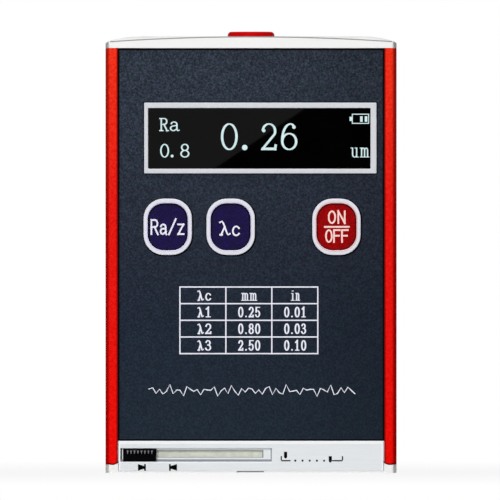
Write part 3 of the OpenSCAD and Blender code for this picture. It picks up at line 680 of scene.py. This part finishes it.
def fascia_marks():
    """End marks of the traced length, and the pictogram of the tip's path."""
    p = Print(front_of("fascia"))
    middle = (ARROW_LOW + ARROW_HIGH) / 2
    for bar, way in ARROW_BARS:
        p.rect(*mm_box(bar - ARROW_BAR_HALF, bar + ARROW_BAR_HALF, ARROW_LOW, ARROW_HIGH))
        end = bar + way * ARROW_LONG
        arrow = [(bar, middle + ARROW_TIP_HALF), (bar, middle - ARROW_TIP_HALF), (end, ARROW_LOW),
                 (end, ARROW_HIGH)]
        p.poly([(x * MM, z * MM) for x, z in arrow[::way]])
    for tick, end in PATH_LINES:
        p.rect(*mm_box(min(tick, end), max(tick, end), PATH_Z - PATH_HALF, PATH_Z + PATH_HALF))
        p.rect(*mm_box(tick - PATH_HALF, tick + PATH_HALF, PATH_Z + PATH_HALF, PATH_TICK_HIGH))
    for i in range(PATH_DOTS):
        p.disc((PATH_FIRST + PATH_PITCH * i) * MM, PATH_Z * MM, PATH_DOT_R * MM)
    for x, foot, head in TIP_PLACES:
        neck = foot + TIP_TAPER
        outline = [(-TIP_POINT_HALF, foot), (TIP_POINT_HALF, foot), (TIP_HALF, neck), (TIP_HALF, head),
                   (-TIP_HALF, head), (-TIP_HALF, neck)]
        p.poly([((x + dx) * MM, z * MM) for dx, z in outline])
    p.piece("fascia_marks", INK_BLACK, "case")


# The front's rounded corner: where it starts, its radius, and the share of it that print follows
CORNER_X, CORNER_R, CORNER_SHARE = 33.67 * MM, 0.6 * MM, 0.99


def wrap_corner(p):
    """Lays a print that runs past the front's edge round the rounded corner."""
    for vert in p.bm.verts:
        past = min(max(0, abs(vert.co.x) - CORNER_X), CORNER_SHARE * CORNER_R)
        vert.co.y += CORNER_R - math.sqrt(CORNER_R ** 2 - past ** 2)


# Painted shade under the top cap's front edge: where it runs, and its pen.
EDGE_SHADE_REACH, EDGE_SHADE_DROP, EDGE_SHADE_BELOW = 34.1, 1.17, 0.12
EDGE_SHADE_PEN, EDGE_SHADE_STEPS = 0.26, 280


def cap_edge_shade():
    """Painted shade: the fine grey line under the top cap's front edge, where its rounding turns from
    the light.
    """
    low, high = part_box("top_cap")
    p = Print(low[1], SHADE_THICK)
    points = []
    for i in range(EDGE_SHADE_STEPS + 1):
        share = 2 * i / EDGE_SHADE_STEPS - 1
        points.append((share * EDGE_SHADE_REACH * MM, high[2] - (EDGE_SHADE_BELOW + EDGE_SHADE_DROP * share ** 2) * MM))
    p.stroke(points, EDGE_SHADE_PEN * MM, EDGE_SHADE_PEN * MM)
    wrap_corner(p)
    p.piece("cap_edge_shade", CAP_EDGE_SHADE_GREY, "case")


RAIL_INNER, RAIL_FOOT_X, RAIL_FOOT_END = 31.98, 33.3, 34.2
RAIL_FOOT_RISE = 0.5
RAIL_EDGE = 0.26
# Painted shade under the rails' feet: its rise above the base, its pen and its steps.
RAIL_SHADE_UP, RAIL_SHADE_PEN, RAIL_SHADE_STEPS = 0.08, 0.3, 40


def rail_feet():
    """Painted shade: the dark line under each rail's bowed end and along the rail's inner edge, with the
    cap's lip beside it.
    """
    low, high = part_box("housing")
    base = low[2] + RAIL_SHADE_UP * MM

    def rise(x):
        return base + RAIL_FOOT_RISE * ((x - RAIL_FOOT_X) / (RAIL_FOOT_X - RAIL_INNER)) ** 2 * MM

    shade_line = Print(low[1], SHADE_THICK)
    edge = Print(low[1])
    lip = Print(low[1])
    pitch = (RAIL_FOOT_END - RAIL_INNER) / RAIL_SHADE_STEPS
    line = [RAIL_INNER + pitch * i for i in range(RAIL_SHADE_STEPS + 1)]
    for side in (-1, 1):
        inner, outer = sorted((side * RAIL_INNER * MM, side * (RAIL_INNER + RAIL_EDGE) * MM))
        edge.rect(inner, outer, rise(RAIL_INNER), high[2])
        shade_line.stroke([(side * x * MM, rise(x)) for x in line], RAIL_SHADE_PEN * MM, RAIL_SHADE_PEN * MM)
        bow = [(side * x * MM, rise(x)) for x in line if x <= RAIL_FOOT_X]
        corner = [(side * RAIL_INNER * MM, low[2]), (bow[-1][0], low[2])] + bow[::-1]
        lip.poly(corner[::side])
    wrap_corner(shade_line)
    shade_line.piece("rail_foot_shade", RAIL_SHADE, "case")
    edge.piece("rail_inner_shade", RAIL_EDGE_SHADE, "case")
    lip.piece("rail_lip", MATS["cap_plastic"], "case")


def rounded(x0, x1, z0, z1, r, steps=10):
    """A rounded rectangle's outline."""
    corners = ((x1 - r, z1 - r, 0), (x0 + r, z1 - r, 90), (x0 + r, z0 + r, 180), (x1 - r, z0 + r, 270))
    return [point for x, z, start in corners for point in arc(x, z, r, r, start, start + 90, steps)]


RIM_R = 4.8 * MM


def inset(box, top, foot, left, right):
    """A key rim's rounded outline, moved in by so many millimetres on each side."""
    x0, x1, z0, z1 = box
    deep = (top + foot + left + right) / 4
    return rounded(x0 + left * MM, x1 - right * MM, z0 + foot * MM, z1 - top * MM, RIM_R - deep * MM)


# Painted shadow round the rims, leaning down and to the right, and round the display frame.
RIM_SHADOW_GAP, RIM_SHADOW_LEAN = 0.26, 0.12
FRAME_SHADOW_OUT, FRAME_SHADOW_PEN = 0.22, 0.3
# The rim's width, and the width of its lip with painted shade and reflection.
RIM_WIDE, RIM_LIP = 0.94, 0.22
# Painted shadow band on each key: its outer and inner insets from the rim, and its thickness.
KEY_END, KEY_SIDE = 1.25, 1.15
KEY_SHADOW_TOP, KEY_SHADOW_FOOT, KEY_SHADOW_SIDE = 1.56, 1.36, 1.4
KEY_SHADOW_THICK = 0.01


def rim_shading():
    """Painted shadows round the rims and the display frame, the rims' lips tinted with painted shade and
    reflection of their keys, and painted shadow along the keys' borders.
    """
    shade_line = Print(front_of("front_panel"), SHADE_THICK)
    near, far = RIM_SHADOW_LEAN - RIM_SHADOW_GAP, -RIM_SHADOW_LEAN - RIM_SHADOW_GAP
    edge = RIM_WIDE - RIM_LIP
    for key in ("parameter_key", "cutoff_key", "power_key"):
        low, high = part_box(f"{key}_bezel")
        rim = (low[0], high[0], low[2], high[2])
        colour = slot_of[key]
        outside = inset(rim, near, far, near, far)
        shade_line.band(outside, inset(rim, RIM_SHADOW_GAP, RIM_SHADOW_GAP, RIM_SHADOW_GAP, RIM_SHADOW_GAP))
        lip = Print(front_of(f"{key}_bezel"), SHADE_THICK)
        lip.band(inset(rim, edge, edge, edge, edge), inset(rim, RIM_WIDE, RIM_WIDE, RIM_WIDE, RIM_WIDE))
        lip.piece(f"{key}_rim_reflection", RIM_REFLECTIONS[colour], "case")
        shadow_band = Print(front_of(key), KEY_SHADOW_THICK)
        shadow_band.band(inset(rim, KEY_END, KEY_END, KEY_SIDE, KEY_SIDE),
                    inset(rim, KEY_SHADOW_TOP, KEY_SHADOW_FOOT, KEY_SHADOW_SIDE, KEY_SHADOW_SIDE))
        shadow_band.piece(f"{key}_border", KEY_SHADOWS[colour], key)
    low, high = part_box("display_bezel")
    out = FRAME_SHADOW_OUT * MM
    shade_line.frame(low[0] - out, high[0] + out, low[2] - out, high[2] + out, FRAME_SHADOW_PEN * MM)
    shade_line.piece("rim_shadow", RIM_SHADOW_DARK, "case")


# Painted shade round the panel: how far below and above it, its pen and its thickness.
PANEL_SHADE_BELOW, PANEL_SHADE_ABOVE, PANEL_SHADE_PEN, PANEL_SHADE_THICK = 0.24, 0.22, 0.4, 0.03


def panel_gap_shade():
    """Painted shade: the dark line round the panel, where the gaps at its edges fall into shade."""
    low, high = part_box("front_panel")
    p = Print(low[1], PANEL_SHADE_THICK)
    foot, head = low[2] - PANEL_SHADE_BELOW * MM, high[2] + PANEL_SHADE_ABOVE * MM
    p.frame(-RAIL_INNER * MM, RAIL_INNER * MM, foot, head, PANEL_SHADE_PEN * MM)
    p.piece("panel_gap_shade", GAP_SHADE, "case")


POCKET_LEFT, POCKET_RIGHT, POCKET_LOW, POCKET_HIGH = -31.45, 5.0, 2.7, 5.95
POCKET_DEEP = 1.45
# Widths of the painted shade at the pocket's foot, right end and left end.
POCKET_FOOT, POCKET_END, POCKET_SHADE = 0.56, 0.3, 0.44
SLOT_LEFT, SLOT_RIGHT, SLOT_LOW, SLOT_HIGH = -29.3, 2.67, 3.64, 5.58
SLOT_LINE, SLOT_END = 0.19, 0.3
STRIP_HALF, STRIP_SIDE, STRIP_TOP = 31.74, 0.36, 0.68
STRIP_FOOT_GAP, STRIP_HEAD_GAP = 0.06, 0.04
LIP_LOW, LIP_HIGH = 2.36, 2.67


def fascia_highlight():
    """Painted highlight: the bright border of the lower strip and the lip under its pocket, where their
    edges catch the light.
    """
    low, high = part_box("fascia")
    p = Print(low[1], SHADE_THICK)
    side, top = STRIP_SIDE * MM, STRIP_TOP * MM
    left, right = -STRIP_HALF * MM, STRIP_HALF * MM
    base, head = low[2] + STRIP_FOOT_GAP * MM, high[2] - STRIP_HEAD_GAP * MM
    p.rect(left, right, head - top, head)
    p.rect(left, left + side, base, head - top)
    p.rect(right - side, right, base, head - top)
    p.rect(left + side, POCKET_RIGHT * MM, LIP_LOW * MM, LIP_HIGH * MM)
    p.piece("fascia_highlight", EDGE_HIGHLIGHT, "case")


def pocket_shade_lines():
    """Painted shade: the lines in the thumb slot's pocket, at its foot and ends, and round the slot,
    where its walls fall into shade.
    """
    y = front_of("fascia") + POCKET_DEEP * MM
    foot = POCKET_LOW + POCKET_FOOT
    p = Print(y, SHADE_THICK)
    p.rect(*mm_box(POCKET_LEFT, POCKET_RIGHT, POCKET_LOW, foot))
    p.rect(*mm_box(POCKET_RIGHT - POCKET_END, POCKET_RIGHT, foot, POCKET_HIGH))
    p.rect(*mm_box(SLOT_RIGHT, SLOT_RIGHT + SLOT_END, SLOT_LOW, SLOT_HIGH))
    p.piece("pocket_shade_lines", POCKET_SHADE_GREY, "case")
    p = Print(y, SHADE_THICK)
    p.rect(*mm_box(POCKET_LEFT, POCKET_LEFT + POCKET_SHADE, foot, POCKET_HIGH))
    p.piece("pocket_end_shade", GAP_SHADE, "case")
    p = Print(y, SHADE_THICK)
    for z in (SLOT_LOW, SLOT_HIGH - SLOT_LINE):
        p.rect(*mm_box(SLOT_LEFT, SLOT_RIGHT, z, z + SLOT_LINE))
    p.rect(*mm_box(SLOT_LEFT, SLOT_LEFT + SLOT_LINE, SLOT_LOW + SLOT_LINE, SLOT_HIGH - SLOT_LINE))
    p.piece("slot_edge_shade", SLOT_SHADE_GREY, "case")


NOTCH_LEFT, NOTCH_RIGHT, NOTCH_LOW, NOTCH_HIGH = -3.38, 3.08, 0.16, 0.5
NOTCH_DEEP = 0.9


def notch_shade():
    """Painted shade on the wall of the notch under the lower strip."""
    p = Print(front_of("bottom_cap") + NOTCH_DEEP * MM)
    p.rect(*mm_box(NOTCH_LEFT, NOTCH_RIGHT, NOTCH_LOW, NOTCH_HIGH))
    p.piece("notch_shade", NOTCH_SHADE_GREY, "case")


# Painted glints on the knob's ribs: their count, pitches to spare and before the first, then depths
# below the knob's top
RIB_COUNT, RIB_SPARE, RIB_FIRST = 8, 1.6, 1.3
RIB_TOP, RIB_WAIST, RIB_FOOT = 0.42, 0.78, 1.2
RIB_TOP_HALF, RIB_WAIST_HALF, RIB_FOOT_HALF = 0.25, 0.13, 0.06


def knob_ribs():
    """Painted glints on the tops of the thumb knob's ribs, widest at the top."""
    low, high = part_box("door_knob")
    p = Print(low[1])
    pitch = (high[0] - low[0]) / (RIB_COUNT + RIB_SPARE)
    outline = [(-RIB_FOOT_HALF, RIB_FOOT), (RIB_FOOT_HALF, RIB_FOOT), (RIB_WAIST_HALF, RIB_WAIST),
               (RIB_TOP_HALF, RIB_TOP), (-RIB_TOP_HALF, RIB_TOP), (-RIB_WAIST_HALF, RIB_WAIST)]
    for i in range(RIB_COUNT):
        x = low[0] + pitch * (i + RIB_FIRST)
        p.poly([(x + half * MM, high[2] - down * MM) for half, down in outline])
    p.piece("knob_ribs", RIB_GLINT_GREY, "door")


cutoff_table()
profile_trace()
key_legends()
readout()
fascia_marks()
cap_edge_shade()
rail_feet()
rim_shading()
panel_gap_shade()
fascia_highlight()
pocket_shade_lines()
notch_shade()
knob_ribs()

# Stage, light and camera

CAMERA_AWAY = 5.4
CAMERA = Vector((px_x(PICTURE / 2), front_of("housing") - CAMERA_AWAY, px_z(PICTURE / 2)))
FIELD = PICTURE * PIXEL * MM
SENSOR = 36
# Floor and cards, in metres
FLOOR_Z, FLOOR_HALF = -0.02 * MM, 3
FLOOR_NEAR, FLOOR_FAR, FLOOR_DIM, FLOOR_GREY = 0.06, 0.3, 0.9, 0.3
CARD_Y, CARD_GAP = -1.2, 0.01
DARK_HALF, DARK_LOW, DARK_HIGH = 0.8, -0.6, 0.7
SIDE_CARD_Y, SIDE_CARD_INNER, SIDE_CARD_OUTER = 0.35, 0.02, 0.5
SIDE_CARD_LOW, SIDE_CARD_HIGH = -0.1, 0.4
# The glare in the display: two pixels on its slanted edge, its far side in metres and its strength
GLARE_TOP, GLARE_FOOT = (314.1, 102.4), (204.9, 174.6)
GLARE_LEFT, GLARE_STRENGTH = -0.2, 0.2


def plane(name, corners, material):
    mesh = bpy.data.meshes.new(name)
    mesh.from_pydata([Vector(c) for c in corners], [], [tuple(range(len(corners)))])
    mesh.materials.append(material)
    obj = bpy.data.objects.new(name, mesh)
    scene.collection.objects.link(obj)
    return obj


def floor_white():
    """White to the eye with a trace of shadow near the object, matt to the light, clear from below."""
    m = Finish("floor_white")
    m.put("Base Color", grey(FLOOR_GREY))
    m.put("Roughness", 0.9)
    m.put("Specular IOR Level", 0.0)
    white = m.add("ShaderNodeEmission", Strength=1.0)
    path = m.add("ShaderNodeLightPath")
    seen = m.add("ShaderNodeMath", operation="MAXIMUM")
    m.link(path.outputs["Is Camera Ray"], seen.inputs[0])
    m.link(path.outputs["Is Glossy Ray"], seen.inputs[1])
    away = m.add("ShaderNodeVectorMath", operation="LENGTH")
    m.link(m.coord, away.inputs[0])
    part = m.add("ShaderNodeMath", operation="MULTIPLY")
    m.link(seen.outputs[0], part.inputs[0])
    m.link(m.spread(away.outputs["Value"], FLOOR_DIM, 1.0, FLOOR_NEAR, FLOOR_FAR), part.inputs[1])
    mix = m.add("ShaderNodeMixShader")
    m.link(part.outputs[0], mix.inputs[0])
    m.link(m.bsdf.outputs[0], mix.inputs[1])
    m.link(white.outputs[0], mix.inputs[2])
    under = m.add("ShaderNodeMixShader")
    m.link(m.add("ShaderNodeNewGeometry").outputs["Backfacing"], under.inputs[0])
    m.link(mix.outputs[0], under.inputs[1])
    m.link(m.add("ShaderNodeBsdfTransparent").outputs[0], under.inputs[2])
    m.link(under.outputs[0], m.out.inputs["Surface"])
    return m.mat


def card(name, y, points, strength):
    """A card that only gloss sees."""
    m = Finish(name)
    m.link(m.add("ShaderNodeEmission", Strength=strength).outputs[0], m.out.inputs["Surface"])
    obj = plane(name, [(x, y, z) for x, z in points], m.mat)
    obj.visible_camera = False
    obj.visible_diffuse = False
    obj.visible_transmission = False
    obj.visible_shadow = False


def seen_in_glass(column, row, y):
    """Where a ray from the camera goes after the display at a pixel, on the plane at y."""
    glass = front_of("display_window")
    hit = Vector((px_x(column), glass, px_z(row)))
    ray = hit - CAMERA
    far = hit + Vector((ray.x, -ray.y, ray.z)) * ((glass - y) / ray.y)
    return far.x, far.z


ground = rectangle(-FLOOR_HALF, FLOOR_HALF, -FLOOR_HALF, FLOOR_HALF)
floor = plane("floor", [(x, y, FLOOR_Z) for x, y in ground], floor_white())
floor.visible_shadow = False
card("card_dark", CARD_Y - CARD_GAP, rectangle(-DARK_HALF, DARK_HALF, DARK_LOW, DARK_HIGH), 0.0)
top = seen_in_glass(*GLARE_TOP, CARD_Y)
low = seen_in_glass(*GLARE_FOOT, CARD_Y)
card("card_dim", CARD_Y, [low, top, (GLARE_LEFT, top[1]), (GLARE_LEFT, low[1])], GLARE_STRENGTH)
for side, name in ((-1, "card_left"), (1, "card_right")):
    inner, outer = side * SIDE_CARD_INNER, side * SIDE_CARD_OUTER
    card(name, SIDE_CARD_Y, rectangle(inner, outer, SIDE_CARD_LOW, SIDE_CARD_HIGH), 0.0)

AIM = Vector((0, 0, 53 * MM))


def area_light(name, at, size, power, gloss=True):
    data = bpy.data.lights.new(name, "AREA")
    data.shape = "RECTANGLE"
    data.size, data.size_y = size
    data.energy = power
    obj = bpy.data.objects.new(name, data)
    obj.location = at
    obj.rotation_euler = (AIM - Vector(at)).to_track_quat("-Z", "Y").to_euler()
    obj.visible_camera = False
    obj.visible_glossy = gloss
    scene.collection.objects.link(obj)


area_light("key", at=(-0.2, -1.5, 0.35), size=(0.7, 0.7), power=18.5, gloss=False)
area_light("top", at=(-0.05, -0.15, 0.8), size=(0.3, 0.3), power=3.0)
area_light("rear_left", at=(-0.4, 1.35, 0.5), size=(0.7, 0.7), power=6.4, gloss=False)
area_light("rear_right", at=(0.5, 1.32, 0.5), size=(0.7, 0.7), power=6.4, gloss=False)
area_light("under", at=(0.1, 0.0, -1.3), size=(0.5, 0.5), power=8.0, gloss=False)

SKY = 0.08


def studio_world():
    """Soft grey light, white where the eye or gloss looks."""
    world = bpy.data.worlds.new("studio")
    scene.world = world
    world.use_nodes = True
    tree = world.node_tree
    tree.nodes.clear()
    out = tree.nodes.new("ShaderNodeOutputWorld")
    mix = tree.nodes.new("ShaderNodeMixShader")
    path = tree.nodes.new("ShaderNodeLightPath")
    soft = tree.nodes.new("ShaderNodeBackground")
    soft.inputs["Strength"].default_value = SKY
    white = tree.nodes.new("ShaderNodeBackground")
    for shader in (soft, white):
        shader.inputs["Color"].default_value = grey(1.0)
    seen = path.outputs["Is Camera Ray"]
    for ray in ("Is Glossy Ray", "Is Transmission Ray"):
        most = tree.nodes.new("ShaderNodeMath")
        most.operation = "MAXIMUM"
        tree.links.new(seen, most.inputs[0])
        tree.links.new(path.outputs[ray], most.inputs[1])
        seen = most.outputs[0]
    tree.links.new(seen, mix.inputs[0])
    tree.links.new(soft.outputs[0], mix.inputs[1])
    tree.links.new(white.outputs[0], mix.inputs[2])
    tree.links.new(mix.outputs[0], out.inputs["Surface"])


studio_world()
scene.view_settings.view_transform = "Standard"

camera = bpy.data.cameras.new("camera")
camera.sensor_width = SENSOR
camera.lens = SENSOR * CAMERA_AWAY / FIELD
camera_obj = bpy.data.objects.new("camera", camera)
camera_obj.location = CAMERA
camera_obj.rotation_euler = (math.radians(90), 0, 0)
scene.collection.objects.link(camera_obj)
scene.camera = camera_obj
